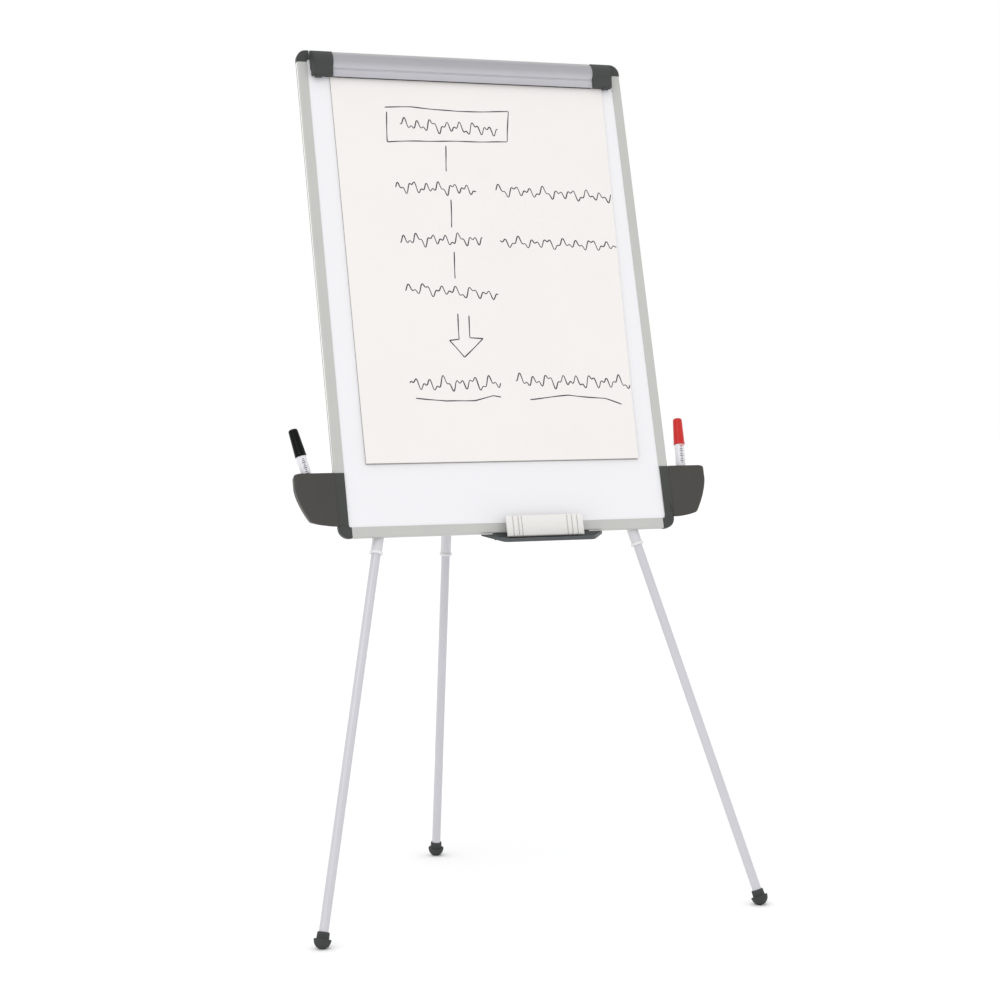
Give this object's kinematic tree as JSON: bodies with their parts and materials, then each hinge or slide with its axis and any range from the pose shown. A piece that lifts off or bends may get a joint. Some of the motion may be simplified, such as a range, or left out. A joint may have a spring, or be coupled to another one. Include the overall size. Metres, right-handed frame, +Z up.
{
  "type": "flipchart easel",
  "caption": "Tripod easel with a framed dry-wipe board, hinged pad clamp, side pen pockets, eraser tray and telescopic twist-lock legs.",
  "frame": {"origin": "on the floor, on the board's centre plane, half way between the line of the front feet and the rear foot: the bottom centre of the bounding box", "axes": "+Z up, -Y the way the board faces, +X to the right of someone facing the board"},
  "size_m": [0.9204, 0.7025, 1.6963],
  "materials": {
    "rail_aluminium": "satin",
    "clamp_aluminium": "satin",
    "upper_tube_aluminium": "satin",
    "lower_tube_aluminium": "satin",
    "white_enamel": "gloss",
    "fibre_core": "matt",
    "galvanised_sheet": "satin",
    "corner_plastic": "matt",
    "pocket_plastic": "matt",
    "tray_plastic": "matt",
    "head_plastic": "matt",
    "lock_plastic": "matt",
    "bushing_plastic": "matt",
    "black_rubber": "matt",
    "foot_rubber": "matt",
    "paper": "matt",
    "eraser_plastic": "matt",
    "eraser_felt": "matt",
    "marker_white": "gloss",
    "marker_black": "gloss",
    "marker_red": "gloss",
    "black_nib": "matt",
    "red_nib": "matt",
    "zinc_steel": "satin"
  },
  "bodies": {
    "easel": {"writing_surface": "white_enamel", "board_core": "fibre_core", "back_sheet": "galvanised_sheet", "rail_top": "rail_aluminium", "rail_bottom": "rail_aluminium", "rail_left": "rail_aluminium", "rail_right": "rail_aluminium", "corner_top_left": "corner_plastic", "corner_top_right": "corner_plastic", "corner_bottom_left": "corner_plastic", "corner_bottom_right": "corner_plastic", "frame_screws": "zinc_steel", "clamp_brackets": "zinc_steel", "clamp_hinge_pins": "zinc_steel", "clamp_springs": "zinc_steel", "flipchart_pad": "paper", "side_pocket_left": "pocket_plastic", "side_pocket_right": "pocket_plastic", "pen_tray": "tray_plastic", "head_plate": "galvanised_sheet", "head_housing": "head_plastic", "head_screws": "zinc_steel", "pivot_bolts": "zinc_steel", "pivot_nuts": "zinc_steel"},
    "clamp": {"clamp_bar": "clamp_aluminium", "clamp_grip_strip": "black_rubber", "clamp_cap_left": "corner_plastic", "clamp_cap_right": "corner_plastic"},
    "leg_left": {"leg_left_knuckle": "head_plastic", "leg_left_upper_tube": "upper_tube_aluminium", "leg_left_guide_bushing": "bushing_plastic"},
    "leg_left_lock": {"leg_left_lock_sleeve": "lock_plastic"},
    "leg_left_lower": {"leg_left_lock_core": "lock_plastic", "leg_left_lower_tube": "lower_tube_aluminium", "leg_left_foot": "foot_rubber"},
    "leg_right": {"leg_right_knuckle": "head_plastic", "leg_right_upper_tube": "upper_tube_aluminium", "leg_right_guide_bushing": "bushing_plastic"},
    "leg_right_lock": {"leg_right_lock_sleeve": "lock_plastic"},
    "leg_right_lower": {"leg_right_lock_core": "lock_plastic", "leg_right_lower_tube": "lower_tube_aluminium", "leg_right_foot": "foot_rubber"},
    "leg_rear": {"leg_rear_knuckle": "head_plastic", "leg_rear_upper_tube": "upper_tube_aluminium", "leg_rear_guide_bushing": "bushing_plastic"},
    "leg_rear_lock": {"leg_rear_lock_sleeve": "lock_plastic"},
    "leg_rear_lower": {"leg_rear_lock_core": "lock_plastic", "leg_rear_lower_tube": "lower_tube_aluminium", "leg_rear_foot": "foot_rubber"},
    "eraser": {"eraser_body": "eraser_plastic", "eraser_felt": "eraser_felt"},
    "marker_left": {"marker_left_barrel": "marker_white", "marker_left_nib": "black_nib"},
    "marker_left_cap": {"marker_left_cap": "marker_black"},
    "marker_right": {"marker_right_barrel": "marker_white", "marker_right_nib": "red_nib"},
    "marker_right_cap": {"marker_right_cap": "marker_red"}
  },
  "joints": [
    {"name": "leg_left_swing", "type": "hinge", "parent": "easel", "child": "leg_left", "pos_m": [-0.067, 0.10102, 1.53557], "axis": [0, -0.9613, 0.2756], "range_deg": [0, 13.4]},
    {"name": "leg_left_extend", "type": "slide", "parent": "leg_left", "child": "leg_left_lock", "axis": [-0.2318, -0.2681, -0.9351], "range_m": [-0.63, 0.1]},
    {"name": "leg_left_twist", "type": "hinge", "parent": "leg_left_lock", "child": "leg_left_lower", "pos_m": [-0.067, 0.10102, 1.53557], "axis": [-0.2318, -0.2681, -0.9351], "range_deg": [0, 180]},
    {"name": "leg_right_swing", "type": "hinge", "parent": "easel", "child": "leg_right", "pos_m": [0.067, 0.10102, 1.53557], "axis": [0, 0.9613, -0.2756], "range_deg": [0, 13.4]},
    {"name": "leg_right_extend", "type": "slide", "parent": "leg_right", "child": "leg_right_lock", "axis": [0.2318, -0.2681, -0.9351], "range_m": [-0.63, 0.1]},
    {"name": "leg_right_twist", "type": "hinge", "parent": "leg_right_lock", "child": "leg_right_lower", "pos_m": [0.067, 0.10102, 1.53557], "axis": [0.2318, -0.2681, -0.9351], "range_deg": [0, 180]},
    {"name": "leg_rear_swing", "type": "hinge", "parent": "easel", "child": "leg_rear", "pos_m": [0, 0.13592, 1.54845], "axis": [-1, 0, 0], "range_deg": [0, 23.4]},
    {"name": "leg_rear_extend", "type": "slide", "parent": "leg_rear", "child": "leg_rear_lock", "axis": [0, 0.1287, -0.9917], "range_m": [-0.55, 0.178]},
    {"name": "leg_rear_twist", "type": "hinge", "parent": "leg_rear_lock", "child": "leg_rear_lower", "pos_m": [0, 0.13592, 1.54845], "axis": [0, 0.1287, -0.9917], "range_deg": [0, 180]},
    {"name": "clamp_open", "type": "hinge", "parent": "easel", "child": "clamp", "pos_m": [0, 0.10837, 1.68638], "axis": [-1, 0, 0], "range_deg": [0, 60], "stiffness_Nm_per_rad": 0.4, "springref_deg": -45.84},
    {"name": "eraser_lift", "type": "slide", "parent": "easel", "child": "eraser", "axis": [0, 0.2756, 0.9613], "range_m": [0, 0.1]},
    {"name": "marker_left_lift", "type": "slide", "parent": "easel", "child": "marker_left", "axis": [-0.2164, 0.2691, 0.9385], "range_m": [0, 0.09]},
    {"name": "marker_left_cap_pull", "type": "slide", "parent": "marker_left", "child": "marker_left_cap", "axis": [-0.2164, 0.2691, 0.9385], "range_m": [0, 0.05]},
    {"name": "marker_right_lift", "type": "slide", "parent": "easel", "child": "marker_right", "axis": [0.0523, 0.2753, 0.9599], "range_m": [0, 0.09]},
    {"name": "marker_right_cap_pull", "type": "slide", "parent": "marker_right", "child": "marker_right_cap", "axis": [0.0523, 0.2753, 0.9599], "range_m": [0, 0.05]}
  ]
}
